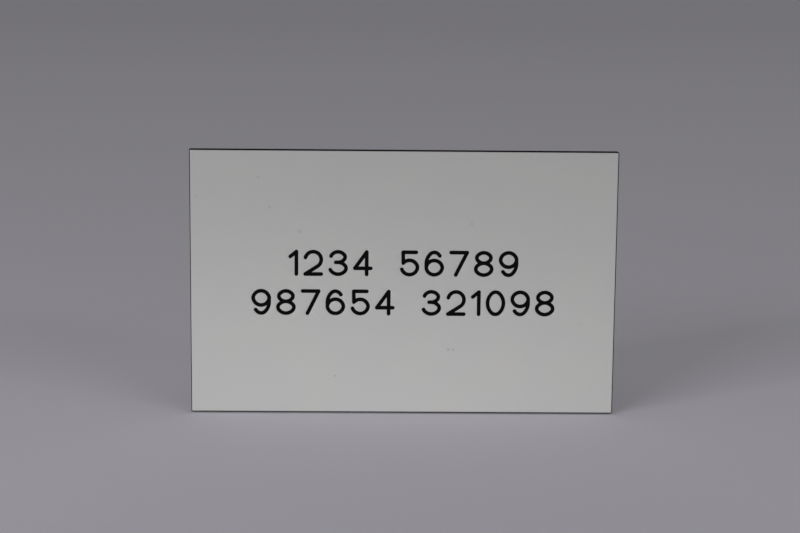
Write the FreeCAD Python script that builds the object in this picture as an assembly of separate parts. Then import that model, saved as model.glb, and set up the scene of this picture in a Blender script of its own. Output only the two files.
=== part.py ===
import FreeCAD, Part
import math
import os

# Name plate for a mailbox, cut from two-ply engraving sheet: a thin white cap bonded to a black core.
# The front rim is bevelled past the cap, and lines of digits are engraved through the cap to the core,
# so the rim and the strokes show black. The back is flat and is stuck to the mailbox.
# The plate stands upright: +X is the reader's right, +Z is up and the front faces -Y.
# The origin is the middle of the back face. Lengths are in millimetres and angles in degrees.

# Sheet
PLATE_WIDTH = 80.0
PLATE_HEIGHT = 50.0
CORE_THICKNESS = 1.5
CAP_THICKNESS = 0.1
RIM_LINE = 0.16  # width of the black line that the 45 degree bevel uncovers round the cap

# Engraving cutter, a cone with a blunt tip
CUTTER_TIP_WIDTH = 0.7
CUTTER_SIDE_ANGLE = 15.0  # between the cutter's side and its axis

# Lines of digits, measured over the engraved strokes
LINES = ("1234 56789", "987654 321098")
DIGIT_HEIGHT = 5.0
DIGIT_WIDTH = 3.75
NARROW_DIGIT_WIDTH = 1.9  # the digit one
DIGIT_GAP = 0.9
GROUP_GAP = 5.0
LINE_PITCH = 7.5

# Proportions of the digits, as shares of the height or width between stroke centres
WAIST_HEIGHT = 0.53  # three and eight
UPPER_BOWL_WIDTH = 0.88  # three and eight
TONGUE_START = 0.36  # three
ROUND_BOWL_HEIGHT = 0.64  # five, six and nine
FLAG_DROP = 0.22  # one
STEM_PLACE = 0.74  # four
BAR_HEIGHT = 0.27  # four
NECK_PLACE = 0.1  # five
ROOF_END = 0.92  # five
FOOT_PLACE = 0.3  # seven

# Directions in which open strokes end on their ovals
UPPER_LEFT_END = 165.0  # two and three
LOWER_LEFT_END = -160.0  # three and five
NECK_DIRECTION = 140.0  # five
HOOK_END = 35.0  # six and nine

# Worked out from the sizes above
PLATE_THICKNESS = CORE_THICKNESS + CAP_THICKNESS
RIM_BEVEL = CAP_THICKNESS + RIM_LINE
ENGRAVING_DEPTH = CAP_THICKNESS
SIDE_SLOPE = math.tan(math.radians(CUTTER_SIDE_ANGLE))
STROKE_WIDTH = CUTTER_TIP_WIDTH + 2 * ENGRAVING_DEPTH * SIDE_SLOPE
GLYPH_WIDTH = DIGIT_WIDTH - STROKE_WIDTH
GLYPH_HEIGHT = DIGIT_HEIGHT - STROKE_WIDTH
NARROW_GLYPH_WIDTH = NARROW_DIGIT_WIDTH - STROKE_WIDTH
GLYPH_MIDDLE = (GLYPH_WIDTH / 2, GLYPH_HEIGHT / 2)

# The cutter's sweeps reach as far in front of the face as they go into it, so that they cut it cleanly.
SWEEP_HEIGHT = 2 * ENGRAVING_DEPTH
SWEEP_WIDTH = CUTTER_TIP_WIDTH + 2 * SWEEP_HEIGHT * SIDE_SLOPE

FRONT = FreeCAD.Vector(0, -1, 0)

# Directions on the face, counterclockwise from +X, and those along its axes over two turns
UP = 90
LEFT = 180
DOWN = -90
FULL_TURN = 360
AXES = range(-FULL_TURN, FULL_TURN + UP, UP)


def on_face(point):
    """Place a point (x, z) on the plate's front face."""
    x, z = point
    return FreeCAD.Vector(x, -PLATE_THICKNESS, z)


def polar(centre, radius, direction):
    """Give the point (x, z) at a distance and direction from a centre."""
    angle = math.radians(direction)
    return centre[0] + radius * math.cos(angle), centre[1] + radius * math.sin(angle)


def cutter_section(point, across):
    """Cut the cutter's outline through its axis, at a point on the face, as a flat face."""
    floor = point - FRONT * ENGRAVING_DEPTH
    top = floor + FRONT * SWEEP_HEIGHT
    tip_half = across * (CUTTER_TIP_WIDTH / 2)
    top_half = across * (SWEEP_WIDTH / 2)
    corners = [floor - tip_half, floor + tip_half, top + top_half, top - top_half]
    return Part.Face(Part.makePolygon(corners + corners[:1]))


def straight_cut(start, end):
    """Sweep the cutter along a straight run between two points (x, z)."""
    run = on_face(end) - on_face(start)
    across = FreeCAD.Vector(run).cross(FRONT).normalize()
    return cutter_section(on_face(start), across).extrude(run)


def round_cut(centre, radius, start, end):
    """Sweep the cutter counterclockwise along an arc between two directions."""
    first = on_face(polar(centre, radius, start))
    across = (first - on_face(centre)).normalize()
    return cutter_section(first, across).revolve(on_face(centre), FRONT, end - start)


def plunge_cut(point):
    """Sink the cutter at a point (x, z): the round end of a stroke, or its corner."""
    floor = on_face(point) - FRONT * ENGRAVING_DEPTH
    return Part.makeCone(CUTTER_TIP_WIDTH / 2, SWEEP_WIDTH / 2, SWEEP_HEIGHT, floor, FRONT)


def polyline_cuts(*points):
    """Sweep the cutter along straight runs with round ends and corners."""
    runs = [straight_cut(start, end) for start, end in zip(points, points[1:])]
    return runs + [plunge_cut(point) for point in points]


class Oval:
    """Path of two flat side arcs and two round end arcs, which join smoothly.

    Places on the path are given by the direction of its outward normal.
    """

    def __init__(self, middle, width, height):
        short, long = sorted((width / 2, height / 2))
        end_radius = short / math.sqrt(2)
        end_reach = long - end_radius
        side_radius = (short**2 + end_reach**2 - end_radius**2) / (2 * (short - end_radius))
        side_reach = short - side_radius
        side_lean = math.degrees(math.atan2(end_reach, -side_reach))
        side = (side_reach, side_radius, side_lean)
        end = (end_reach, end_radius, UP - side_lean)
        self.middle = middle
        self.arcs = (side, end) if height > width else (end, side)

    def arc(self, facing):
        """Give the centre, radius and half span of the arc that faces along an axis."""
        reach, radius, lean = self.arcs[facing // UP % 2]
        return polar(self.middle, reach, facing), radius, lean

    def point(self, direction):
        """Give the point (x, z) where the normal has a direction."""
        facing = min(AXES, key=lambda axis: abs(direction - axis) - self.arc(axis)[2])
        centre, radius, _ = self.arc(facing)
        return polar(centre, radius, direction)

    def cuts(self, start, end):
        """Sweep the cutter along the path, counterclockwise between two directions."""
        sweeps = []
        for facing in AXES:
            centre, radius, lean = self.arc(facing)
            first = max(start, facing - lean)
            last = min(end, facing + lean)
            if last > first:
                sweeps.append(round_cut(centre, radius, first, last))
        return sweeps

    def closed_cuts(self):
        """Sweep the cutter once round, from one joint of two arcs."""
        joint = self.arc(0)[2]
        return self.cuts(joint - FULL_TURN, joint)


FULL_OVAL = Oval(GLYPH_MIDDLE, GLYPH_WIDTH, GLYPH_HEIGHT)


def lower_bowl(height):
    """Lay an oval along the bottom of the digit."""
    return Oval((GLYPH_WIDTH / 2, height / 2), GLYPH_WIDTH, height)


def waisted_bowls():
    """Stack the upper and lower bowls that three and eight share."""
    waist = WAIST_HEIGHT * GLYPH_HEIGHT
    upper_middle = (GLYPH_WIDTH / 2, (waist + GLYPH_HEIGHT) / 2)
    return Oval(upper_middle, UPPER_BOWL_WIDTH * GLYPH_WIDTH, GLYPH_HEIGHT - waist), lower_bowl(waist)


def cut_zero():
    """One closed oval."""
    return FULL_OVAL.closed_cuts()


def cut_one():
    """A flag that rises to the top of a stem."""
    flag = (0, (1 - FLAG_DROP) * GLYPH_HEIGHT)
    top = (NARROW_GLYPH_WIDTH, GLYPH_HEIGHT)
    return polyline_cuts(flag, top, (NARROW_GLYPH_WIDTH, 0))


def cut_two():
    """A round head, a straight neck that leaves it without a corner, and a foot."""
    radius = GLYPH_WIDTH / 2
    centre = (radius, GLYPH_HEIGHT - radius)
    to_corner = math.atan2(-centre[1], -centre[0])
    neck = math.degrees(to_corner + math.acos(radius / math.hypot(*centre)))
    head = round_cut(centre, radius, neck, UPPER_LEFT_END)
    tip = plunge_cut(polar(centre, radius, UPPER_LEFT_END))
    return [head, tip] + polyline_cuts(polar(centre, radius, neck), (0, 0), (GLYPH_WIDTH, 0))


def cut_three():
    """Two open bowls that meet in a short tongue."""
    upper, lower = waisted_bowls()
    waist = lower.point(UP)
    bowls = upper.cuts(DOWN, UPPER_LEFT_END) + lower.cuts(LOWER_LEFT_END, UP)
    ends = [plunge_cut(upper.point(UPPER_LEFT_END)), plunge_cut(lower.point(LOWER_LEFT_END))]
    return bowls + ends + polyline_cuts((TONGUE_START * GLYPH_WIDTH, waist[1]), waist)


def cut_four():
    """A stem, a slope from its top and a bar that crosses it."""
    stem = STEM_PLACE * GLYPH_WIDTH
    bar = BAR_HEIGHT * GLYPH_HEIGHT
    return polyline_cuts((stem, 0), (stem, GLYPH_HEIGHT), (0, bar), (GLYPH_WIDTH, bar))


def cut_five():
    """A roof, a short neck and an open bowl."""
    bowl = lower_bowl(ROUND_BOWL_HEIGHT * GLYPH_HEIGHT)
    roof = [(NECK_PLACE * GLYPH_WIDTH, GLYPH_HEIGHT), (ROOF_END * GLYPH_WIDTH, GLYPH_HEIGHT)]
    open_bowl = bowl.cuts(LOWER_LEFT_END, NECK_DIRECTION) + [plunge_cut(bowl.point(LOWER_LEFT_END))]
    return open_bowl + polyline_cuts(bowl.point(NECK_DIRECTION), *roof)


def cut_six():
    """A closed bowl under a hook."""
    bowl = lower_bowl(ROUND_BOWL_HEIGHT * GLYPH_HEIGHT)
    hook = FULL_OVAL.cuts(HOOK_END, LEFT) + [plunge_cut(FULL_OVAL.point(HOOK_END))]
    side = straight_cut(FULL_OVAL.point(LEFT), bowl.point(LEFT))
    return bowl.closed_cuts() + hook + [side]


def cut_seven():
    """A roof and a slope from its end."""
    return polyline_cuts((0, GLYPH_HEIGHT), (GLYPH_WIDTH, GLYPH_HEIGHT), (FOOT_PLACE * GLYPH_WIDTH, 0))


def cut_eight():
    """Two closed bowls that touch."""
    upper, lower = waisted_bowls()
    return upper.closed_cuts() + lower.closed_cuts()


def cut_nine():
    """A six turned half round."""
    return [cut.rotated(on_face(GLYPH_MIDDLE), FRONT, LEFT) for cut in cut_six()]


DIGIT_CUTS = (
    cut_zero, cut_one, cut_two, cut_three, cut_four, cut_five, cut_six, cut_seven, cut_eight, cut_nine,
)


def digit_width(digit):
    """Give a digit's width over its strokes."""
    return NARROW_DIGIT_WIDTH if digit == "1" else DIGIT_WIDTH


def group_width(group):
    """Give the width of digits that stand close together."""
    return sum(digit_width(digit) for digit in group) + (len(group) - 1) * DIGIT_GAP


def digit_groove(digit):
    """Join a digit's cuts into one groove, with its lower left stroke centre at x = z = 0."""
    first, *others = DIGIT_CUTS[int(digit)]()
    return first.fuse(others).removeSplitter()


def line_grooves(line, middle_height):
    """Lay out the grooves of one line of digits, centred across the plate."""
    groups = line.split()
    left = -(sum(map(group_width, groups)) + (len(groups) - 1) * GROUP_GAP) / 2
    bottom = middle_height - GLYPH_HEIGHT / 2
    grooves = []
    for group in groups:
        for digit in group:
            place = FreeCAD.Vector(left + STROKE_WIDTH / 2, 0, bottom)
            grooves.append(digit_groove(digit).translated(place))
            left += digit_width(digit) + DIGIT_GAP
        left += GROUP_GAP - DIGIT_GAP
    return grooves


def sheet(thickness):
    """Cut a sheet of the plate's outline, from the back face forwards."""
    corner = FreeCAD.Vector(-PLATE_WIDTH / 2, -thickness, -PLATE_HEIGHT / 2)
    return Part.makeBox(PLATE_WIDTH, thickness, PLATE_HEIGHT, corner)


def bevelled_laminate():
    """Bevel the front rim of the two bonded plies."""
    laminate = sheet(PLATE_THICKNESS)
    front_face = min(laminate.Faces, key=lambda face: face.CenterOfMass.y)
    return laminate.makeChamfer(RIM_BEVEL, front_face.Edges)


def engraving():
    """Lay out all lines, spread evenly about the middle of the plate."""
    grooves = []
    for row, line in enumerate(LINES):
        rows_above_middle = (len(LINES) - 1) / 2 - row
        grooves += line_grooves(line, rows_above_middle * LINE_PITCH)
    return grooves


def black_core():
    """The thick ply, which carries the rest of the bevel."""
    return bevelled_laminate().common(sheet(CORE_THICKNESS))


def white_cap():
    """The thin ply with its engraving, and the islands that closed strokes leave in it."""
    return bevelled_laminate().cut(sheet(CORE_THICKNESS)).cut(engraving())


def export(node, shape):
    """Write one sub-part and report its solids."""
    os.makedirs("parts", exist_ok=True)
    shape.exportStep(f"parts/{node}.step")
    print(node, "solids", len(shape.Solids), "valid", shape.isValid(), "volume", round(shape.Volume, 3))


export("black_core", black_core())
export("white_cap", white_cap())
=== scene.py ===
"""Looks of the mailbox name plate: finely cut plies, procedural finishes and a small studio.

The plate is cut from two-ply engraving sheet. A thin white cap lies on a black core, the front rim is
bevelled through the cap, and two lines of digits are engraved through it into the core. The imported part
gives the sizes of the sheet. Sizes are in millimetres on the plate: x to the right, y from the front to
the back and z up. Angles are in degrees. Meshes are written in metres.
"""

import logging
import math
from abc import ABC, abstractmethod
from collections.abc import Iterator, Mapping, Sequence
from dataclasses import dataclass, field
from enum import Enum
from functools import cached_property

import bmesh
import bpy
import numpy as np
from mathutils import Matrix, Vector
from mathutils.geometry import delaunay_2d_cdt
from mathutils.kdtree import KDTree


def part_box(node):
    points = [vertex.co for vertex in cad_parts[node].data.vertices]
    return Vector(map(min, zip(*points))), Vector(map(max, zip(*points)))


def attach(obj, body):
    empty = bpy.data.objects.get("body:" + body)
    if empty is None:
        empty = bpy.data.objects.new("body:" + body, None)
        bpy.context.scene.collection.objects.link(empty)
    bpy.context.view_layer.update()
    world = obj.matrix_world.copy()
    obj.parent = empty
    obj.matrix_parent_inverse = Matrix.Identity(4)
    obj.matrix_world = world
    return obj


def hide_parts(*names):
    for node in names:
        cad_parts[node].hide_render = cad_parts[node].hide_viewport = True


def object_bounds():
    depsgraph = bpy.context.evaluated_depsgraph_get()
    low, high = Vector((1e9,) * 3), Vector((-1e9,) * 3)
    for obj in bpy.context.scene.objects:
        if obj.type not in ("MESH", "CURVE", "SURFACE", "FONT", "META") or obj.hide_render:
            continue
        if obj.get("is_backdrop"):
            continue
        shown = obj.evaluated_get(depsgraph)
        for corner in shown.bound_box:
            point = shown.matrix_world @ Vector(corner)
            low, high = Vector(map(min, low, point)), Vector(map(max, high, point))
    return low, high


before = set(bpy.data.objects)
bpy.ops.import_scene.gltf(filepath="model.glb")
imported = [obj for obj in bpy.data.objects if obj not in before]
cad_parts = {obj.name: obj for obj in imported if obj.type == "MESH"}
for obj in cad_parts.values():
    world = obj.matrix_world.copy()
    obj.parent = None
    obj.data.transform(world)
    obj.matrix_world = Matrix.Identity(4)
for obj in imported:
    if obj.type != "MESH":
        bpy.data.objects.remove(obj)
CAD_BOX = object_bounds()

MM = 0.001  # metres in a millimetre
BODY = "root"

# Directions on the face, counterclockwise from +x
RIGHT = 0.0
UP = 90.0
LEFT = 180.0
DOWN = -90.0
FULL_TURN = 360.0

# Closeness, in millimetres
CLEAR_BY = 1e-9  # how far inside another stroke a point on an outline may lie
WELD = 1e-4  # points nearer than this are one point

NOISE_MIDDLE = 0.5  # the usual level of a noise from 0 to 1

log = logging.getLogger("name_plate")

Place = tuple[float, float]
Colour = tuple[float, float, float, float]


class Sum(Enum):
    """Sums that a Math node does."""

    ADD = "ADD"
    SUBTRACT = "SUBTRACT"
    MULTIPLY = "MULTIPLY"
    LARGER = "MAXIMUM"
    SIZE = "ABSOLUTE"


class VectorSum(Enum):
    """Sums that a Vector Math node does."""

    SCALE = "SCALE"
    DISTANCE = "DISTANCE"


@dataclass(frozen=True)
class Lumps:
    """How coarse a noise is."""

    pitch: float  # size of its largest lumps
    layers: float  # how many finer layers lie in them


class Signal:
    """A number that changes over a surface, for use in Python sums."""

    def __init__(self, sheet: "NodeSheet", socket: bpy.types.NodeSocket) -> None:
        """Hold an output socket and the sheet that it is on."""
        self.sheet = sheet
        self.socket = socket

    def __add__(self, other: "Signal | float") -> "Signal":
        """Add a number or a signal."""
        return self.sheet.sum_of(Sum.ADD, self, other)

    def __sub__(self, other: "Signal | float") -> "Signal":
        """Take away a number or a signal."""
        return self.sheet.sum_of(Sum.SUBTRACT, self, other)

    def __rsub__(self, other: float) -> "Signal":
        """Take this signal away from a number."""
        return self.sheet.sum_of(Sum.SUBTRACT, other, self)

    def __mul__(self, other: "Signal | float") -> "Signal":
        """Multiply by a number or a signal."""
        return self.sheet.sum_of(Sum.MULTIPLY, self, other)

    def __or__(self, other: "Signal | float") -> "Signal":
        """Keep the larger of two masks."""
        return self.sheet.sum_of(Sum.LARGER, self, other)

    def __abs__(self) -> "Signal":
        """Drop the sign."""
        return self.sheet.sum_of(Sum.SIZE, self)

    __radd__ = __add__
    __rmul__ = __mul__
    __ror__ = __or__


class NodeSheet:
    """The node tree of one finish."""

    VECTOR_INPUTS = {"first": 0, "second": 1, "scale": 3}  # of a Vector Math node
    MIX_INPUTS = (0, 6, 7)  # a Mix node's share and its two colours
    MIX_RESULT = 2  # a Mix node's mixed colour

    def __init__(self, name: str) -> None:
        """Start an empty material.

        Args:
            name: The finish's name.
        """
        self.material = bpy.data.materials.new(name)
        self.material.use_nodes = True
        self.tree = self.material.node_tree
        self.tree.nodes.clear()

    def node(
        self, kind: str, settings: Mapping[str, object], sockets: Mapping[str | int, object]
    ) -> bpy.types.Node:
        """Add a node.

        Args:
            kind: Blender's name for the node's type.
            settings: The node's own settings, which are set first.
            sockets: Values, signals or sockets for its inputs, by name or number.

        Returns:
            The new node.
        """
        node = self.tree.nodes.new(kind)
        for name, value in settings.items():
            setattr(node, name, value)
        for key, value in sockets.items():
            source = value.socket if isinstance(value, Signal) else value
            if isinstance(source, bpy.types.NodeSocket):
                self.tree.links.new(source, node.inputs[key])
            else:
                node.inputs[key].default_value = source
        return node

    def sum_of(self, kind: Sum, *terms: Signal | float) -> Signal:
        """Work out a sum of numbers and signals."""
        node = self.node("ShaderNodeMath", {"operation": kind.value}, dict(enumerate(terms)))
        return Signal(self, node.outputs[0])

    def vector(self, kind: VectorSum, **sockets: object) -> bpy.types.Node:
        """Work out a sum of vectors, with sockets named first, second and scale."""
        inputs = {self.VECTOR_INPUTS[name]: value for name, value in sockets.items()}
        return self.node("ShaderNodeVectorMath", {"operation": kind.value}, inputs)

    def plate_place(self) -> bpy.types.NodeSocket:
        """Give the place on the plate, in millimetres."""
        place = self.node("ShaderNodeTexCoord", {}, {}).outputs["Object"]
        return self.vector(VectorSum.SCALE, first=place, scale=1 / MM).outputs[0]

    def axes(self, place: bpy.types.NodeSocket) -> list[Signal]:
        """Split a place into its x, y and z."""
        return [Signal(self, out) for out in self.node("ShaderNodeSeparateXYZ", {}, {0: place}).outputs]

    def noise(self, place: bpy.types.NodeSocket, lumps: Lumps) -> Signal:
        """Give soft noise from 0 to 1, read at a place."""
        sockets = {"Vector": place, "Scale": 1 / lumps.pitch, "Detail": lumps.layers}
        return Signal(self, self.node("ShaderNodeTexNoise", {}, sockets).outputs[0])

    def fade(self, value: Signal, start: float, end: float) -> Signal:
        """Rise smoothly from 0 to 1.

        Args:
            value: What the rise follows.
            start: The value at which it starts.
            end: The value at which it ends.

        Returns:
            The rise.
        """
        sockets = {"Value": value, "From Min": start, "From Max": end}
        node = self.node("ShaderNodeMapRange", {"interpolation_type": "SMOOTHSTEP"}, sockets)
        return Signal(self, node.outputs[0])

    def blend(self, share: Signal | float, first: object, second: object) -> bpy.types.NodeSocket:
        """Mix two colours, from the first at share 0 to the second at share 1."""
        inputs = dict(zip(self.MIX_INPUTS, (share, first, second)))
        return self.node("ShaderNodeMix", {"data_type": "RGBA"}, inputs).outputs[self.MIX_RESULT]

    def relief(self, height: Signal, depth: float) -> bpy.types.NodeSocket:
        """Turn heights from 0 to 1 into a normal, for a depth in millimetres."""
        return self.node("ShaderNodeBump", {}, {"Height": height, "Distance": depth * MM}).outputs[0]

    def finished(self, sockets: Mapping[str | int, object]) -> bpy.types.Material:
        """Close the sheet with a plastic or paper surface.

        Args:
            sockets: Values, signals or sockets for the surface's inputs, by name.

        Returns:
            The material.
        """
        surface = self.node("ShaderNodeBsdfPrincipled", {}, sockets).outputs[0]
        self.node("ShaderNodeOutputMaterial", {}, {"Surface": surface})
        return self.material


class Stroke(ABC):
    """A run of the cutter's middle line on the face."""

    CHORD = 0.1  # a chord's greatest length
    CHORD_TURN = 6.0  # and its greatest turn

    @property
    @abstractmethod
    def chords(self) -> int:
        """Number of straight chords that stand for the run."""

    @abstractmethod
    def at(self, shares: np.ndarray) -> np.ndarray:
        """Give the points at shares of the run, from 0 to 1."""

    @abstractmethod
    def nearest(self, points: np.ndarray) -> np.ndarray:
        """Give the nearest point of the run to each of some points."""

    @abstractmethod
    def sides(self, offset: float) -> tuple["Stroke", "Stroke"]:
        """Give the runs at a distance on both sides."""

    @abstractmethod
    def half_turned(self, middle: Place) -> "Stroke":
        """Turn the run half round a point."""


@dataclass(frozen=True)
class Line(Stroke):
    """A straight run."""

    start: Place
    end: Place

    @cached_property
    def run(self) -> np.ndarray:
        """The vector from start to end."""
        return np.subtract(self.end, self.start)

    @property
    def chords(self) -> int:
        """Number of straight chords that stand for the run."""
        return math.ceil(np.linalg.norm(self.run) / self.CHORD)

    def at(self, shares: np.ndarray) -> np.ndarray:
        """Give the points at shares of the run, from 0 to 1."""
        return self.start + shares[:, None] * self.run

    def nearest(self, points: np.ndarray) -> np.ndarray:
        """Give the nearest point of the run to each of some points."""
        return self.at(np.clip((points - self.start) @ self.run / (self.run @ self.run), 0, 1))

    def sides(self, offset: float) -> tuple["Line", "Line"]:
        """Give the runs at a distance on both sides."""
        shift = np.array([-self.run[1], self.run[0]]) * offset / np.linalg.norm(self.run)
        return Line(self.start + shift, self.end + shift), Line(self.start - shift, self.end - shift)

    def half_turned(self, middle: Place) -> "Line":
        """Turn the run half round a point."""
        double = 2 * np.asarray(middle)
        return Line(double - self.start, double - self.end)


@dataclass(frozen=True)
class Arc(Stroke):
    """A round run, counterclockwise between two directions."""

    centre: Place
    radius: float
    start: float
    end: float

    @property
    def chords(self) -> int:
        """Number of straight chords that stand for the run."""
        sweep = self.end - self.start
        return math.ceil(max(sweep / self.CHORD_TURN, math.radians(sweep) * self.radius / self.CHORD))

    def at(self, shares: np.ndarray) -> np.ndarray:
        """Give the points at shares of the run, from 0 to 1."""
        angles = np.radians(self.start + shares * (self.end - self.start))
        return self.centre + self.radius * np.stack([np.cos(angles), np.sin(angles)], axis=1)

    def nearest(self, points: np.ndarray) -> np.ndarray:
        """Give the nearest point of the run to each of some points.

        Args:
            points: Points on the face.

        Returns:
            As many points on the run.
        """
        sweep = self.end - self.start
        away = points - self.centre
        turn = (np.degrees(np.arctan2(away[:, 1], away[:, 0])) - self.start) % FULL_TURN
        nearer_end = np.where(turn - sweep < FULL_TURN - turn, sweep, 0.0)
        return self.at(np.where(turn > sweep, nearer_end, turn) / sweep)

    def sides(self, offset: float) -> tuple["Arc", "Arc"]:
        """Give the runs at a distance on both sides.

        Args:
            offset: The distance.

        Returns:
            The outer and the inner run.
        """
        outer = Arc(self.centre, self.radius + offset, self.start, self.end)
        inner = Arc(self.centre, self.radius - offset, self.start, self.end)
        return outer, inner

    def half_turned(self, middle: Place) -> "Arc":
        """Turn the run half round a point."""
        centre = 2 * np.asarray(middle) - self.centre
        return Arc(centre, self.radius, self.start + LEFT, self.end + LEFT)


class Oval:
    """A path of two flat side arcs and two round end arcs, which join smoothly."""

    AXES = np.arange(-FULL_TURN, FULL_TURN + UP, UP)  # directions that the arcs face, over two turns
    END_SHARPNESS = math.sqrt(2)  # half the short side over the radius of an end arc

    def __init__(self, middle: Place, width: float, height: float) -> None:
        """Work out the arcs.

        Args:
            middle: Middle of the oval.
            width: Its width.
            height: Its height.
        """
        short, long = sorted((width / 2, height / 2))
        end_radius = short / self.END_SHARPNESS
        end_reach = long - end_radius
        side_radius = (short**2 + end_reach**2 - end_radius**2) / (2 * (short - end_radius))
        side_reach = short - side_radius
        side_lean = math.degrees(math.atan2(end_reach, -side_reach))
        side = (side_reach, side_radius, side_lean)
        end = (end_reach, end_radius, UP - side_lean)
        self.middle = middle
        self.kinds = (side, end) if height > width else (end, side)

    def facing(self, axis: float) -> Arc:
        """Give the arc that faces along an axis."""
        reach, radius, lean = self.kinds[int(axis // UP) % 2]
        return Arc(polar(self.middle, reach, axis), radius, axis - lean, axis + lean)

    def point(self, direction: float) -> Place:
        """Give the point where the outward normal has a direction."""
        arc = next(arc for arc in map(self.facing, self.AXES) if arc.start <= direction <= arc.end)
        return polar(arc.centre, arc.radius, direction)

    def between(self, start: float, end: float) -> list[Arc]:
        """Give the arcs between two directions, counterclockwise.

        Args:
            start: Direction of the outward normal at the start.
            end: Direction of the outward normal at the end.

        Returns:
            The arcs in order.
        """
        arcs = []
        for arc in map(self.facing, self.AXES):
            first, last = max(start, arc.start), min(end, arc.end)
            if last > first:
                arcs.append(Arc(arc.centre, arc.radius, first, last))
        return arcs

    def closed(self) -> list[Arc]:
        """Give all four arcs."""
        return [self.facing(axis) for axis in (RIGHT, UP, LEFT, DOWN)]


def polar(centre: Place, radius: float, direction: float) -> Place:
    """Give the point at a distance and direction from a centre."""
    angle = math.radians(direction)
    return centre[0] + radius * math.cos(angle), centre[1] + radius * math.sin(angle)


def polyline(*points: Place) -> list[Line]:
    """Join points with straight runs."""
    return [Line(start, end) for start, end in zip(points, points[1:])]


@dataclass(frozen=True)
class DigitFont:
    """Single-stroke digits, with sizes as shares of the height or width between stroke centres."""

    width: float
    height: float
    narrow_width: float
    waist_height: float = 0.53
    upper_bowl_width: float = 0.88
    tongue_start: float = 0.36
    round_bowl_height: float = 0.64
    flag_drop: float = 0.22
    stem_place: float = 0.74
    bar_height: float = 0.27
    neck_place: float = 0.1
    roof_end: float = 0.92
    foot_place: float = 0.3
    upper_left_end: float = 165.0  # this and the next three are directions
    lower_left_end: float = -160.0
    neck_direction: float = 140.0
    hook_end: float = 35.0

    @cached_property
    def full_oval(self) -> Oval:
        """The oval as large as a digit."""
        return Oval((self.width / 2, self.height / 2), self.width, self.height)

    def lower_bowl(self, height: float) -> Oval:
        """Lay an oval along the bottom of the digit."""
        return Oval((self.width / 2, height / 2), self.width, height)

    def waisted_bowls(self) -> tuple[Oval, Oval]:
        """Stack the two bowls that three and eight share.

        Returns:
            The upper and the lower bowl.
        """
        waist = self.waist_height * self.height
        middle = (self.width / 2, (waist + self.height) / 2)
        upper = Oval(middle, self.upper_bowl_width * self.width, self.height - waist)
        return upper, self.lower_bowl(waist)

    def zero(self) -> list[Stroke]:
        """One closed oval."""
        return self.full_oval.closed()

    def one(self) -> list[Stroke]:
        """A flag that rises to the top of a stem."""
        flag = (0.0, (1 - self.flag_drop) * self.height)
        return polyline(flag, (self.narrow_width, self.height), (self.narrow_width, 0.0))

    def two(self) -> list[Stroke]:
        """A round head, a straight neck that leaves it without a corner, and a foot.

        Returns:
            The digit's strokes.
        """
        radius = self.width / 2
        centre = (radius, self.height - radius)
        to_corner = math.atan2(-centre[1], -centre[0])
        neck = math.degrees(to_corner + math.acos(radius / math.hypot(*centre)))
        head = Arc(centre, radius, neck, self.upper_left_end)
        return [head, *polyline(polar(centre, radius, neck), (0.0, 0.0), (self.width, 0.0))]

    def three(self) -> list[Stroke]:
        """Two open bowls that meet in a short tongue.

        Returns:
            The digit's strokes.
        """
        upper, lower = self.waisted_bowls()
        waist = lower.point(UP)
        bowls = upper.between(DOWN, self.upper_left_end) + lower.between(self.lower_left_end, UP)
        return bowls + polyline((self.tongue_start * self.width, waist[1]), waist)

    def four(self) -> list[Stroke]:
        """A stem, a slope from its top and a bar that crosses it.

        Returns:
            The digit's strokes.
        """
        stem = self.stem_place * self.width
        bar = self.bar_height * self.height
        return polyline((stem, 0.0), (stem, self.height), (0.0, bar), (self.width, bar))

    def five(self) -> list[Stroke]:
        """A roof, a short neck and an open bowl.

        Returns:
            The digit's strokes.
        """
        bowl = self.lower_bowl(self.round_bowl_height * self.height)
        roof = [(share * self.width, self.height) for share in (self.neck_place, self.roof_end)]
        open_bowl = bowl.between(self.lower_left_end, self.neck_direction)
        return open_bowl + polyline(bowl.point(self.neck_direction), *roof)

    def six(self) -> list[Stroke]:
        """A closed bowl under a hook.

        Returns:
            The digit's strokes.
        """
        bowl = self.lower_bowl(self.round_bowl_height * self.height)
        hook = self.full_oval.between(self.hook_end, LEFT)
        return bowl.closed() + hook + polyline(self.full_oval.point(LEFT), bowl.point(LEFT))

    def seven(self) -> list[Stroke]:
        """A roof and a slope from its end."""
        roof = ((0.0, self.height), (self.width, self.height))
        return polyline(*roof, (self.foot_place * self.width, 0.0))

    def eight(self) -> list[Stroke]:
        """Two closed bowls that touch."""
        upper, lower = self.waisted_bowls()
        return upper.closed() + lower.closed()

    def nine(self) -> list[Stroke]:
        """A six turned half round."""
        return [stroke.half_turned(self.full_oval.middle) for stroke in self.six()]

    def strokes(self, digit: str) -> list[Stroke]:
        """Give the strokes of a digit.

        Args:
            digit: The digit.

        Returns:
            Its strokes, with its lower left stroke centre at 0, 0.
        """
        makers = (self.zero, self.one, self.two, self.three, self.four)
        makers += (self.five, self.six, self.seven, self.eight, self.nine)
        return makers[int(digit)]()


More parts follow.
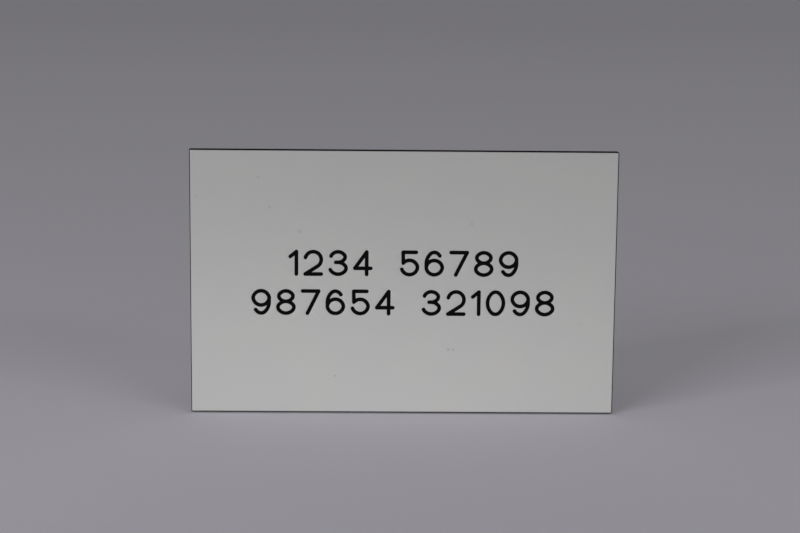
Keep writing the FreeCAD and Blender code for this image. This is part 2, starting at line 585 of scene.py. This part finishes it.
class Groove:
    """The cutter's path for one digit, and outlines at any distance from it."""

    BISECTIONS = 26
    CAP_START = 2.0  # direction, so that no point of an end cap falls on a joint of two strokes

    def __init__(self, strokes: Sequence[Stroke]) -> None:
        """Keep the strokes and find their ends.

        Args:
            strokes: The runs of the cutter's middle line.
        """
        self.strokes = strokes
        ends = np.vstack([stroke.at(np.array([0.0, 1.0])) for stroke in strokes])
        _, firsts = np.unique(np.round(ends / WELD), axis=0, return_index=True)
        self.ends = ends[firsts]

    def distance(self, points: np.ndarray) -> np.ndarray:
        """Give each point's distance from the path."""
        gaps = [np.linalg.norm(points - stroke.nearest(points), axis=1) for stroke in self.strokes]
        return np.min(gaps, axis=0)

    def edge_curves(self, offset: float) -> Iterator[Stroke]:
        """Give the sides of all strokes and the circles round their ends.

        Args:
            offset: Distance from the path.

        Returns:
            The sides and circles at that distance.
        """
        for stroke in self.strokes:
            yield from stroke.sides(offset)
        for end in self.ends:
            yield Arc(end, offset, self.CAP_START, self.CAP_START + FULL_TURN)

    def crossing(self, curve: Stroke, offset: float, covered: float, clear: float) -> float:
        """Find where a curve comes out of another stroke.

        Args:
            curve: A side or an end circle at the offset.
            offset: Distance from the path.
            covered: Share of the curve that lies inside another stroke.
            clear: Share of the curve that doesn't.

        Returns:
            The share of the curve at the crossing.
        """
        for _ in range(self.BISECTIONS):
            middle = (covered + clear) / 2
            if self.distance(curve.at(np.array([middle])))[0] > offset - CLEAR_BY:
                clear = middle
            else:
                covered = middle
        return clear

    def outline(self, offset: float) -> list[np.ndarray]:
        """Trace the groove's outline at a distance from the cutter's path.

        Args:
            offset: Distance from the path.

        Returns:
            Chains of points, which together go round each outline.
        """
        chains = []
        for curve in self.edge_curves(offset):
            shares = np.linspace(0, 1, curve.chords + 1)
            clear = np.r_[False, self.distance(curve.at(shares)) > offset - CLEAR_BY, False]
            changes = np.flatnonzero(clear[1:] != clear[:-1])
            for first, stop in zip(changes[::2], changes[1::2]):
                run = list(shares[first:stop])
                if first > 0:
                    run.insert(0, self.crossing(curve, offset, shares[first - 1], shares[first]))
                if stop < len(shares):
                    run.append(self.crossing(curve, offset, shares[stop], shares[stop - 1]))
                chain = curve.at(np.array(run))
                if np.ptp(chain, axis=0).max() > WELD:
                    chains.append(chain)
        return chains


@dataclass(frozen=True)
class Cutter:
    """The engraving cutter, a cone with a blunt tip, and what it leaves."""

    bond_half_width: float = 0.35  # half the stroke where the two plies meet
    side_angle: float = 15.0  # between the cutter's side and its axis
    depth_in_core: float = 0.12
    nose_radius: float = 0.03
    lip_radius: float = 0.02

    @property
    def side_slope(self) -> float:
        """How much wider the groove gets on each side as it rises."""
        return math.tan(math.radians(self.side_angle))

    def half_width(self, rise: float) -> float:
        """Give half the groove's width at a rise above the bond of the two plies."""
        return self.bond_half_width + rise * self.side_slope


@dataclass
class Inscription:
    """Two centred lines of engraved digits."""

    cutter: Cutter
    cap_thickness: float
    lines: tuple[str, ...] = ("1234 56789", "987654 321098")
    digit_height: float = 5.0
    digit_width: float = 3.75
    narrow_digit_width: float = 1.9
    digit_gap: float = 0.9
    group_gap: float = 5.0
    line_pitch: float = 7.5
    clearance: float = 1.0  # from the cutter's path to the nearest plain point of a face
    stroke_width: float = field(init=False)
    grooves: dict[str, Groove] = field(init=False)
    places: list[tuple[str, np.ndarray]] = field(init=False)

    def __post_init__(self) -> None:
        """Shape the digits and lay them out."""
        self.stroke_width = 2 * self.cutter.half_width(self.cap_thickness)
        font = DigitFont(
            self.digit_width - self.stroke_width,
            self.digit_height - self.stroke_width,
            self.narrow_digit_width - self.stroke_width,
        )
        used = sorted(set("".join(self.lines)) - {" "})
        self.grooves = {digit: Groove(font.strokes(digit)) for digit in used}
        self.places = [place for row in range(len(self.lines)) for place in self.line_places(row)]

    def width_of(self, digit: str) -> float:
        """Give a digit's width over its strokes."""
        return self.narrow_digit_width if digit == "1" else self.digit_width

    def group_width(self, group: str) -> float:
        """Give the width of digits that stand close together."""
        return sum(map(self.width_of, group)) + (len(group) - 1) * self.digit_gap

    def line_places(self, row: int) -> Iterator[tuple[str, np.ndarray]]:
        """Lay out one line, centred across the plate.

        Args:
            row: Number of the line, from the top.

        Returns:
            Each digit with the place of its lower left stroke centre.
        """
        groups = self.lines[row].split()
        left = -(sum(map(self.group_width, groups)) + (len(groups) - 1) * self.group_gap) / 2
        middle = ((len(self.lines) - 1) / 2 - row) * self.line_pitch
        bottom = middle - (self.digit_height - self.stroke_width) / 2
        for group in groups:
            for digit in group:
                yield digit, np.array([left + self.stroke_width / 2, bottom])
                left += self.width_of(digit) + self.digit_gap
            left += self.group_gap - self.digit_gap

    def distance(self, points: np.ndarray) -> np.ndarray:
        """Give each point's distance from the cutter's path.

        Args:
            points: Points on the face.

        Returns:
            The distances, which are infinite where no digit is near.
        """
        nearest = np.full(len(points), np.inf)
        reach = np.array([self.digit_width, self.digit_height])
        for digit, place in self.places:
            near = np.flatnonzero(np.all(abs(points - place - reach / 2) < reach, axis=1))
            if len(near):
                gaps = self.grooves[digit].distance(points[near] - place)
                nearest[near] = np.minimum(nearest[near], gaps)
        return nearest

    def outlines(self, offset: float) -> Iterator[np.ndarray]:
        """Trace the outlines of all digits.

        Args:
            offset: Distance from the cutter's path.

        Returns:
            Chains of points, which together go round each outline.
        """
        chains = {digit: groove.outline(offset) for digit, groove in self.grooves.items()}
        for digit, place in self.places:
            for chain in chains[digit]:
                yield chain + place


@dataclass(frozen=True)
class ProfileCorner:
    """A corner of a section through the plate: distance across, depth, and rounding."""

    across: float
    depth: float
    radius: float = 0.0


def rounded_profile(corners: Sequence[ProfileCorner], steps: int = 2) -> list[Place]:
    """Round the inner corners of a section.

    Args:
        corners: The section's corners in order. The first and last stay as they are.
        steps: Number of chords in a rounding.

    Returns:
        Points (across, depth) along the section.
    """
    places = [np.array([corner.across, corner.depth]) for corner in corners]
    section = [places[0]]
    for before, place, after, corner in zip(places, places[1:], places[2:], corners[1:]):
        back = (before - place) / np.linalg.norm(before - place)
        ahead = (after - place) / np.linalg.norm(after - place)
        half_angle = math.acos(back @ ahead) / 2
        turn = math.pi - 2 * half_angle
        reach = corner.radius / math.tan(half_angle)
        bisector = (back + ahead) / np.linalg.norm(back + ahead)
        centre = place + bisector * corner.radius / math.sin(half_angle)
        first, last = place + back * reach - centre, place + ahead * reach - centre
        for share in np.linspace(0, 1, steps + 1):
            lean = math.sin((1 - share) * turn) * first + math.sin(share * turn) * last
            section.append(centre + lean / math.sin(turn))
    return [tuple(place) for place in [*section, places[-1]]]


class FaceMap:
    """Lines drawn on the plate's face, each at its own depth, and the triangles between them."""

    NEARNESS = 1e-7  # points nearer to a line than this lie on it

    def __init__(self) -> None:
        """Start an empty map."""
        self.points: list[np.ndarray] = []
        self.depths: list[np.ndarray] = []
        self.edges: list[np.ndarray] = []
        self.count = 0

    def dots(self, points: np.ndarray, depth: float) -> np.ndarray:
        """Add points at a depth.

        Args:
            points: Points on the face.
            depth: Their depth.

        Returns:
            Their numbers on the map.
        """
        numbers = np.arange(self.count, self.count + len(points))
        self.points.append(points)
        self.depths.append(np.full(len(points), depth))
        self.count += len(points)
        return numbers

    def line(self, chain: np.ndarray, depth: float) -> None:
        """Add an open line at a depth."""
        numbers = self.dots(chain, depth)
        self.edges.append(np.stack([numbers[:-1], numbers[1:]], axis=1))

    def loop(self, chain: np.ndarray, depth: float) -> None:
        """Add a closed line at a depth."""
        self.line(np.vstack([chain, chain[:1]]), depth)

    def engrave(self, inscription: Inscription, section: Sequence[Place]) -> None:
        """Draw the outlines of all digits.

        Args:
            inscription: The digits.
            section: Points (across, depth) from the middle of a stroke outwards.
        """
        for offset, depth in section:
            for chain in inscription.outlines(offset):
                self.line(chain, depth)

    @staticmethod
    def welded(points: np.ndarray) -> np.ndarray:
        """Find points that lie on one another.

        Args:
            points: Points on the face.

        Returns:
            For each point, the number of the first point that lies on it.
        """
        tree = KDTree(len(points))
        solid = np.insert(points, 2, 0.0, axis=1)
        for number, point in enumerate(solid):
            tree.insert(point, number)
        tree.balance()
        firsts = [min(near[1] for near in tree.find_range(point, WELD)) for point in solid]
        return np.array(firsts)[firsts]

    def triangles(self) -> tuple[np.ndarray, np.ndarray]:
        """Fill the map with triangles that keep to its lines.

        Returns:
            Places (x, y, z), and the triangles' corners as numbers of places, seen from the front.
        """
        points = np.vstack(self.points)
        kept, numbers = np.unique(self.welded(points), return_inverse=True)
        edges = numbers[np.vstack(self.edges)]
        edges = edges[edges[:, 0] != edges[:, 1]]
        flat = [Vector(point) for point in points[kept]]
        found, _, faces, sources, _, _ = delaunay_2d_cdt(flat, edges.tolist(), [], 0, self.NEARNESS)
        if not all(sources):
            crossing = found[sources.index([])]
            raise ValueError(f"two lines of a face map cross at {crossing}")
        depths = np.concatenate(self.depths)[kept][[source[0] for source in sources]]
        flat_places = np.array(found)
        places = np.stack([flat_places[:, 0], depths, flat_places[:, 1]], axis=1)
        return places, np.array(faces)


class PieceMesh:
    """Faces of one piece, gathered before its mesh is made."""

    SHARP_ANGLE = 40.0  # the turn from face to face that makes an edge sharp

    def __init__(self, name: str) -> None:
        """Start an empty piece.

        Args:
            name: The piece's name.
        """
        self.name = name
        self.places: list[np.ndarray] = []
        self.faces: list[list[int]] = []
        self.count = 0

    def add(self, places: np.ndarray, faces: np.ndarray) -> None:
        """Add faces with their own places.

        Args:
            places: Places (x, y, z).
            faces: The faces' corners as numbers of places.
        """
        self.faces += (faces + self.count).tolist()
        self.places.append(places)
        self.count += len(places)

    def make(self) -> bpy.types.Object:
        """Weld the faces into one closed mesh that shades smoothly except at its edges.

        Returns:
            The piece, linked to the scene.
        """
        mesh = bpy.data.meshes.new(self.name)
        mesh.from_pydata(np.vstack(self.places) * MM, [], self.faces)
        shell = bmesh.new()
        shell.from_mesh(mesh)
        bmesh.ops.remove_doubles(shell, verts=shell.verts, dist=WELD * MM)
        loose = [vertex for vertex in shell.verts if not vertex.link_faces]
        bmesh.ops.delete(shell, geom=loose, context="VERTS")
        bmesh.ops.recalc_face_normals(shell, faces=shell.faces)
        if any(len(edge.link_faces) != 2 for edge in shell.edges):
            raise ValueError(f"{self.name} isn't closed")
        shell.to_mesh(mesh)
        shell.free()
        mesh.shade_smooth()
        mesh.set_sharp_from_angle(angle=math.radians(self.SHARP_ANGLE))
        piece = bpy.data.objects.new(self.name, mesh)
        bpy.context.scene.collection.objects.link(piece)
        piece.modifiers.new("flat_faces_first", "WEIGHTED_NORMAL").keep_sharp = True
        return piece


@dataclass(frozen=True)
class SheetSizes:
    """Sizes of the two bonded plies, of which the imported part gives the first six."""

    half_width: float
    half_height: float
    front: float
    bond: float
    back: float
    rim_line: float
    corner_radii: tuple[float, ...] = (0.3, 0.12, 0.12, 0.26)  # counterclockwise from the upper right
    least_corner_radius: float = 0.02
    corner_chords: int = 4
    side_chord: float = 2.5

    @classmethod
    def from_frame(cls) -> "SheetSizes":
        """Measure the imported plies.

        Returns:
            The sizes.
        """
        core_low, core_high = (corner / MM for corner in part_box("black_core"))
        cap_low, cap_high = (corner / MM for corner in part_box("white_cap"))
        return cls(core_high.x, core_high.z, cap_low.y, cap_high.y, core_high.y, core_high.x - cap_high.x)

    @property
    def cap_thickness(self) -> float:
        """Thickness of the white ply."""
        return self.bond - self.front

    def rim_loop(self, inset: float) -> np.ndarray:
        """Go round the plate, counterclockwise seen from the front.

        Args:
            inset: Distance inside the plate's outline.

        Returns:
            As many points for every inset.
        """
        signs = np.array([(1, 1), (-1, 1), (-1, -1), (1, -1)])
        half = np.array([self.half_width, self.half_height]) - inset
        arcs = []
        for number, (sign, full_radius) in enumerate(zip(signs, self.corner_radii)):
            radius = max(full_radius - inset, self.least_corner_radius)
            corner = Arc(sign * (half - radius), radius, number * UP, (number + 1) * UP)
            arcs.append(corner.at(np.linspace(0, 1, self.corner_chords + 1)))
        stretches = []
        for number, (arc, following) in enumerate(zip(arcs, arcs[1:] + arcs[:1])):
            length = 2 * (self.half_height if number % 2 else self.half_width)
            steps = round(length / self.side_chord)
            side = arc[-1] + np.outer(np.arange(1, steps) / steps, following[0] - arc[-1])
            stretches += [arc, side]
        return np.vstack(stretches)

    def lattice(self, inscription: Inscription) -> np.ndarray:
        """Spread points evenly over the face.

        Args:
            inscription: The engraving.

        Returns:
            The points, clear of the rim and of the engraving.
        """
        half = np.array([self.half_width, self.half_height]) - self.side_chord
        counts = np.ceil(2 * half / self.side_chord).astype(int) + 1
        columns, rows = (np.linspace(-reach, reach, count) for reach, count in zip(half, counts))
        points = np.stack(np.meshgrid(columns, rows), axis=-1).reshape(-1, 2)
        return points[inscription.distance(points) > inscription.clearance]


@dataclass(frozen=True)
class Speck:
    """A grain of dust on the face."""

    x: float
    z: float
    radius: float
    shade: float  # how much of the face it hides at its middle


@dataclass(frozen=True)
class SatinCap:
    """Finish of the white ply: satin off-white plastic, a little rougher where it is cut."""

    warm: Colour = (0.455, 0.454, 0.441, 1.0)
    cool: Colour = (0.443, 0.445, 0.442, 1.0)
    cut: Colour = (0.43, 0.43, 0.42, 1.0)
    dust: Colour = (0.05, 0.048, 0.045, 1.0)
    roughness: float = 0.38
    roughness_spread: float = 0.1
    cut_roughness: float = 0.6
    mottle_lumps: Lumps = Lumps(14.0, 5.0)
    mottle_range: tuple[float, float] = (0.3, 0.7)
    grain_lumps: Lumps = Lumps(0.09, 2.0)
    grain_depth: float = 0.0016
    dust_lumps: Lumps = Lumps(0.09, 1.0)
    cut_start: float = 0.004
    cut_full: float = 0.02
    specks: tuple[Speck, ...] = (
        Speck(-27.25, 19.91, 0.37, 0.28),
        Speck(-25.08, 14.30, 0.40, 0.22),
        Speck(-19.46, 9.69, 0.62, 0.18),
        Speck(-38.82, 16.06, 0.45, 0.11),
        Speck(12.73, 11.32, 0.31, 0.36),
        Speck(4.40, 12.50, 0.22, 0.1),
        Speck(-12.73, -17.93, 0.27, 0.42),
        Speck(8.60, -12.67, 0.30, 0.43),
        Speck(9.51, -12.71, 0.46, 0.22),
        Speck(32.86, -7.61, 0.20, 0.17),
        Speck(33.58, -7.66, 0.33, 0.17),
    )

    def dust_mask(
        self, sheet: NodeSheet, place: bpy.types.NodeSocket, sizes: SheetSizes
    ) -> Signal | float:
        """Mark the specks of dust.

        Args:
            sheet: The finish's nodes.
            place: The place on the plate.
            sizes: Sizes of the plies.

        Returns:
            How much dust covers the place, from 0 to 1.
        """
        ragged = sheet.noise(place, self.dust_lumps) - NOISE_MIDDLE
        mask: Signal | float = 0.0
        for speck in self.specks:
            middle = (speck.x, sizes.front, speck.z)
            gap = sheet.vector(VectorSum.DISTANCE, first=place, second=middle).outputs["Value"]
            edge = Signal(sheet, gap) + ragged * speck.radius
            mask = sheet.fade(edge, speck.radius, 0.0) * speck.shade | mask
        return mask

    def material(self, sizes: SheetSizes) -> bpy.types.Material:
        """Make the finish.

        Args:
            sizes: Sizes of the plies.

        Returns:
            The material.
        """
        sheet = NodeSheet("satin_white_cap")
        place = sheet.plate_place()
        depth = sheet.axes(place)[1] - sizes.front
        cut = sheet.fade(depth, self.cut_start, self.cut_full)
        grain = sheet.noise(place, self.grain_lumps)
        mottle = sheet.noise(place, self.mottle_lumps)
        face = sheet.blend(sheet.fade(mottle, *self.mottle_range), self.warm, self.cool)
        clean = sheet.blend(cut, face, self.cut)
        rough = self.roughness + (mottle - NOISE_MIDDLE) * self.roughness_spread
        return sheet.finished({
            "Base Color": sheet.blend(self.dust_mask(sheet, place, sizes), clean, self.dust),
            "Roughness": rough + cut * (self.cut_roughness - self.roughness),
            "Normal": sheet.relief(grain, self.grain_depth),
        })


@dataclass(frozen=True)
class MatteCore:
    """Finish of the black ply: a satin back, saw marks on the sides and tool marks in the strokes."""

    deep: Colour = (0.002, 0.002, 0.0023, 1.0)
    worn: Colour = (0.009, 0.009, 0.0098, 1.0)
    satin: Colour = (0.016, 0.016, 0.017, 1.0)
    back_roughness: float = 0.5
    back_gloss: float = 0.7
    gloss_roughness: float = 0.35
    cut_roughness: float = 0.62
    specular: float = 0.05
    skin_lumps: Lumps = Lumps(0.25, 3.0)
    skin_depth: float = 0.006
    tool_lumps: Lumps = Lumps(0.05, 2.0)
    tool_depth: float = 0.003
    saw_lumps: Lumps = Lumps(0.12, 2.0)
    saw_depth: float = 0.008
    saw_length: float = 40.0  # how much longer a saw mark is than it is wide
    smudge_share: float = 0.4  # how much the marks of handling change the back
    smudge_lumps: Lumps = Lumps(9.0, 6.0)
    smudge_range: tuple[float, float] = (0.35, 0.75)
    smudge_roughness: float = 0.06
    edge_band: float = 0.1

    def material(self, sizes: SheetSizes) -> bpy.types.Material:
        """Make the finish.

        Args:
            sizes: Sizes of the plies.

        Returns:
            The material.
        """
        sheet = NodeSheet("matte_black_core")
        place = sheet.plate_place()
        x, y, z = sheet.axes(place)
        across = sheet.fade(abs(x), sizes.half_width - self.edge_band, sizes.half_width)
        along = sheet.fade(abs(z), sizes.half_height - self.edge_band, sizes.half_height)
        sides = across | along
        stroke = sheet.fade(y, sizes.back - self.edge_band, sizes.bond) * (1 - sides)
        back = sheet.fade(y, sizes.back - self.edge_band, sizes.back) * (1 - sides)
        skin = sheet.noise(place, self.skin_lumps)
        tool = sheet.noise(place, self.tool_lumps)
        run = sheet.node("ShaderNodeCombineXYZ", {}, {0: x + z, 1: y * (1 / self.saw_length)}).outputs[0]
        saw = sheet.noise(run, self.saw_lumps)
        flat_height = skin * (1 - stroke) + tool * stroke * (self.tool_depth / self.skin_depth)
        height = flat_height * (1 - sides) + saw * sides * (self.saw_depth / self.skin_depth)
        smudge = sheet.fade(sheet.noise(place, self.smudge_lumps), *self.smudge_range)
        satin_share = back * (smudge * self.smudge_share + (1 - self.smudge_share))
        cut = sheet.blend(sides * saw, self.deep, self.worn)
        rough = self.cut_roughness + back * (self.back_roughness - self.cut_roughness)
        return sheet.finished({
            "Base Color": sheet.blend(satin_share, cut, self.satin),
            "Roughness": rough + smudge * self.smudge_roughness,
            "Coat Weight": back * (1 - smudge * self.smudge_share) * self.back_gloss,
            "Coat Roughness": self.gloss_roughness,
            "Normal": sheet.relief(height, self.skin_depth),
            "Specular IOR Level": self.specular,
        })


@dataclass
class CapPly:
    """The thin white ply with its engraving, and the islands that closed strokes leave in it."""

    sizes: SheetSizes
    inscription: Inscription
    rim_rounding: float = 0.03
    finish: SatinCap = field(default_factory=SatinCap)

    def groove_wall(self) -> list[Place]:
        """Give the wall of a stroke, from the bond up to its rounded lip.

        Returns:
            Points (across, depth) along the section.
        """
        cutter, sizes = self.inscription.cutter, self.sizes
        lip = cutter.half_width(sizes.cap_thickness)
        corners = [
            ProfileCorner(cutter.bond_half_width, sizes.bond),
            ProfileCorner(lip, sizes.front, cutter.lip_radius),
            ProfileCorner(lip + sizes.cap_thickness, sizes.front),
        ]
        return rounded_profile(corners)[:-1]

    def rim_slope(self) -> list[Place]:
        """Give the bevel at the rim, from the bond up to its rounded edge.

        Returns:
            Points (across, depth) along the section.
        """
        sizes = self.sizes
        top = sizes.rim_line + sizes.cap_thickness
        corners = [
            ProfileCorner(sizes.rim_line, sizes.bond),
            ProfileCorner(top, sizes.front, self.rim_rounding),
            ProfileCorner(top + sizes.cap_thickness, sizes.front),
        ]
        return rounded_profile(corners)[:-1]

    def front(self) -> tuple[np.ndarray, np.ndarray]:
        """Draw the strokes' walls and the rim's bevel, and fill what is white between them.

        Returns:
            Places and triangles, seen from the front, which end on the bond.
        """
        sizes = self.sizes
        face_map = FaceMap()
        face_map.engrave(self.inscription, self.groove_wall())
        for inset, depth in self.rim_slope():
            face_map.loop(sizes.rim_loop(inset), depth)
        face_map.dots(sizes.lattice(self.inscription), sizes.front)
        places, triangles = face_map.triangles()
        middles = places[triangles].mean(axis=1)[:, [0, 2]]
        uncut = self.inscription.distance(middles) > self.inscription.cutter.bond_half_width
        raised = np.any(places[triangles, 1] < sizes.bond, axis=1)
        return places, triangles[uncut & raised]

    def build(self) -> bpy.types.Object:
        """Make the ply's mesh: its cut front, and under it the flat side that is bonded.

        Returns:
            The ply, without a finish.
        """
        places, triangles = self.front()
        bonded = places.copy()
        bonded[:, 1] = self.sizes.bond
        piece = PieceMesh("engraved_white_cap")
        piece.add(places, triangles)
        piece.add(bonded, triangles[:, ::-1])
        return piece.make()

    def dress(self, piece: bpy.types.Object) -> None:
        """Give the ply its finish and its place in the part.

        Args:
            piece: The ply.
        """
        piece.data.materials.append(self.finish.material(self.sizes))
        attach(piece, BODY)
        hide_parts("white_cap")


@dataclass
class CorePly:
    """The thick black ply, with the floors of the strokes and the rest of the bevel."""

    sizes: SheetSizes
    inscription: Inscription
    bevel_rounding: float = 0.04
    back_rounding: float = 0.06
    finish: MatteCore = field(default_factory=MatteCore)

    def groove_floor(self) -> list[Place]:
        """Give the section of a stroke in the core, from its floor up to the bond.

        Returns:
            Points (across, depth) along the section.
        """
        cutter, sizes = self.inscription.cutter, self.sizes
        floor = sizes.bond + cutter.depth_in_core
        corners = [
            ProfileCorner(0.0, floor),
            ProfileCorner(cutter.half_width(-cutter.depth_in_core), floor, cutter.nose_radius),
            ProfileCorner(cutter.bond_half_width, sizes.bond),
        ]
        return rounded_profile(corners)[1:]

    def rim(self) -> list[Place]:
        """Give the section of the rim, from the bond over the bevel and the side to the back.

        Returns:
            Points (across, depth) along the section.
        """
        sizes = self.sizes
        corners = [
            ProfileCorner(sizes.rim_line, sizes.bond),
            ProfileCorner(0.0, sizes.bond + sizes.rim_line, self.bevel_rounding),
            ProfileCorner(0.0, sizes.back, self.back_rounding),
            ProfileCorner(sizes.half_height, sizes.back),
        ]
        return rounded_profile(corners)[:-1]

    def front(self) -> tuple[np.ndarray, np.ndarray]:
        """Draw the front under the cap, with the strokes sunk into it.

        Returns:
            Places and triangles, seen from the front.
        """
        sizes = self.sizes
        face_map = FaceMap()
        face_map.engrave(self.inscription, self.groove_floor())
        face_map.loop(sizes.rim_loop(sizes.rim_line), sizes.bond)
        face_map.dots(sizes.lattice(self.inscription), sizes.bond)
        return face_map.triangles()

    def side_bands(self) -> tuple[np.ndarray, np.ndarray]:
        """Join the loops of the rim with bands.

        Returns:
            Places and four-sided faces.
        """
        loops = [self.sizes.rim_loop(inset) for inset, _ in self.rim()]
        places = [np.insert(loop, 1, depth, axis=1) for loop, (_, depth) in zip(loops, self.rim())]
        count = len(loops[0])
        first = np.arange(count)
        second = np.roll(first, -1)
        band = np.stack([first, second, second + count, first + count], axis=1)
        bands = [band + number * count for number in range(len(loops) - 1)]
        return np.vstack(places), np.vstack(bands)

    def back(self) -> tuple[np.ndarray, np.ndarray]:
        """Fill the back inside its rounded edge.

        Returns:
            Places and triangles, seen from behind.
        """
        inset, depth = self.rim()[-1]
        face_map = FaceMap()
        face_map.loop(self.sizes.rim_loop(inset), depth)
        places, triangles = face_map.triangles()
        return places, triangles[:, ::-1]

    def build(self) -> bpy.types.Object:
        """Make the ply's mesh: its front, its rim and its back.

        Returns:
            The ply, without a finish.
        """
        piece = PieceMesh("grooved_black_core")
        piece.add(*self.front())
        piece.add(*self.side_bands())
        piece.add(*self.back())
        return piece.make()

    def dress(self, piece: bpy.types.Object) -> None:
        """Give the ply its finish and its place in the part.

        Args:
            piece: The ply.
        """
        piece.data.materials.append(self.finish.material(self.sizes))
        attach(piece, BODY)
        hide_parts("black_core")


@dataclass(frozen=True)
class PaperFinish:
    """Finish of the floor: plain pale paper with a fine tooth, whose hollows are painted a little darker
    as shade.
    """

    colour: Colour = (0.755, 0.732, 0.806, 1.0)
    # painted shade: the colour of the tooth's hollows, a little darker than the paper
    painted_hollow_shade: Colour = (0.727, 0.704, 0.775, 1.0)
    roughness: float = 0.85
    tooth_lumps: Lumps = Lumps(0.6, 3.0)
    tooth_depth: float = 0.02

    def material(self) -> bpy.types.Material:
        """Make the finish.

        Returns:
            The material.
        """
        sheet = NodeSheet("pale_paper")
        tooth = sheet.noise(sheet.plate_place(), self.tooth_lumps)
        return sheet.finished({
            # Painted shade: where the tooth's noise is low, in its hollows, the paper takes the darker
            # colour
            "Base Color": sheet.blend(tooth, self.painted_hollow_shade, self.colour),
            "Roughness": self.roughness,
            "Normal": sheet.relief(tooth, self.tooth_depth),
        })


@dataclass(frozen=True)
class SoftLamp:
    """A soft lamp with an even rectangular face, which points at a place."""

    name: str
    place: tuple[float, float, float]
    target: tuple[float, float, float]
    width: float
    height: float
    watts: float
    spread: float = 180.0  # the angle that its beam opens to, which a grid narrows

    def add(self) -> None:
        """Put the lamp in the scene."""
        light = bpy.data.lights.new(self.name, "AREA")
        light.shape = "RECTANGLE"
        light.size = self.width * MM
        light.size_y = self.height * MM
        light.energy = self.watts
        light.spread = math.radians(self.spread)
        lamp = bpy.data.objects.new(self.name, light)
        lamp.location = Vector(self.place) * MM
        aim = Vector(self.target) - Vector(self.place)
        lamp.rotation_euler = aim.to_track_quat("-Z", "Y").to_euler()
        lamp.visible_camera = False
        bpy.context.scene.collection.objects.link(lamp)


@dataclass
class Studio:
    """A pale floor, soft lamps and a camera at the portrait's angle."""

    sizes: SheetSizes
    floor_reach: float = 6000.0
    floor_squares: int = 24  # along each side
    floor_gap: float = 0.2  # the plate stands on the tips of the paper's tooth
    room_colour: Colour = (1.0, 1.0, 1.0, 1.0)
    room_strength: float = 0.223
    focal_length: float = 85.0
    sensor_width: float = 36.0
    azimuth: float = -0.981
    elevation: float = 9.713
    roll: float = 0.533
    distance: float = 354.36
    target: tuple[float, float, float] = (-0.662, -1.6, 3.175)
    lamps: tuple[SoftLamp, ...] = (
        SoftLamp("key_panel", (-525.0, -675.0, 180.0), (0.0, 0.0, 0.0), 450.0, 360.0, 2.92),
        SoftLamp("fill_panel", (525.0, -675.0, 180.0), (0.0, 0.0, 0.0), 450.0, 360.0, 1.06),
        SoftLamp("back_lamp", (0.0, 1000.0, 900.0), (0.0, 0.0, 0.0), 500.0, 500.0, 0.15),
        SoftLamp("left_low_lamp", (-600.0, -400.0, 30.0), (-32.0, 0.0, -24.0), 100.0, 50.0, 0.0069, 8.0),
        SoftLamp("right_low_lamp", (600.0, -400.0, 30.0), (32.0, 0.0, -24.0), 100.0, 50.0, 0.0041, 8.0),
    )
    paper: PaperFinish = field(default_factory=PaperFinish)

    def add_floor(self) -> None:
        """Lay the floor under the plate."""
        mesh = bpy.data.meshes.new("paper_floor")
        sheet = bmesh.new()
        squares = self.floor_squares
        bmesh.ops.create_grid(sheet, x_segments=squares, y_segments=squares, size=self.floor_reach * MM)
        sheet.to_mesh(mesh)
        sheet.free()
        mesh.materials.append(self.paper.material())
        floor = bpy.data.objects.new("paper_floor", mesh)
        floor.location.z = -(self.sizes.half_height + self.floor_gap) * MM
        bpy.context.scene.collection.objects.link(floor)
        floor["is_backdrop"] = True

    def add_light(self) -> None:
        """Add the lamps and an even light from all round."""
        for lamp in self.lamps:
            lamp.add()
        world = bpy.data.worlds.new("soft_room")
        world.use_nodes = True
        background = world.node_tree.nodes["Background"]
        background.inputs["Color"].default_value = self.room_colour
        background.inputs["Strength"].default_value = self.room_strength
        bpy.context.scene.world = world

    def add_camera(self) -> None:
        """Put the camera in front of the plate, a little above and to the left."""
        data = bpy.data.cameras.new("portrait")
        data.lens = self.focal_length
        data.sensor_width = self.sensor_width
        azimuth, elevation = math.radians(self.azimuth), math.radians(self.elevation)
        level = math.cos(elevation)
        back = Vector((math.sin(azimuth) * level, -math.cos(azimuth) * level, math.sin(elevation)))
        eye = (Vector(self.target) + back * self.distance) * MM
        level_turn = (-back).to_track_quat("-Z", "Y").to_matrix()
        turn = level_turn @ Matrix.Rotation(math.radians(self.roll), 3, "Z")
        camera = bpy.data.objects.new("portrait", data)
        camera.matrix_world = Matrix.Translation(eye) @ turn.to_4x4()
        bpy.context.scene.collection.objects.link(camera)
        bpy.context.scene.camera = camera

    def build(self) -> None:
        """Set up the whole studio."""
        self.add_floor()
        self.add_light()
        self.add_camera()
        bpy.context.scene.view_settings.view_transform = "Standard"


def write_sizes() -> None:
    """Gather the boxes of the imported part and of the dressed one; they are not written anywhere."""
    boxes = {"cad": CAD_BOX, "visual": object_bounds()}
    {name: [list(corner) for corner in box] for name, box in boxes.items()}


def main() -> None:
    """Build and dress the plies, then the studio."""
    logging.basicConfig(level=logging.INFO, format="%(name)s: %(message)s")
    sizes = SheetSizes.from_frame()
    inscription = Inscription(Cutter(), sizes.cap_thickness)
    for ply in (CorePly(sizes, inscription), CapPly(sizes, inscription)):
        piece = ply.build()
        ply.dress(piece)
        log.info("%s: %d faces", piece.name, len(piece.data.polygons))
    Studio(sizes).build()
    log.info("studio: floor, lamps and camera")
    write_sizes()


if __name__ == "__main__":
    main()
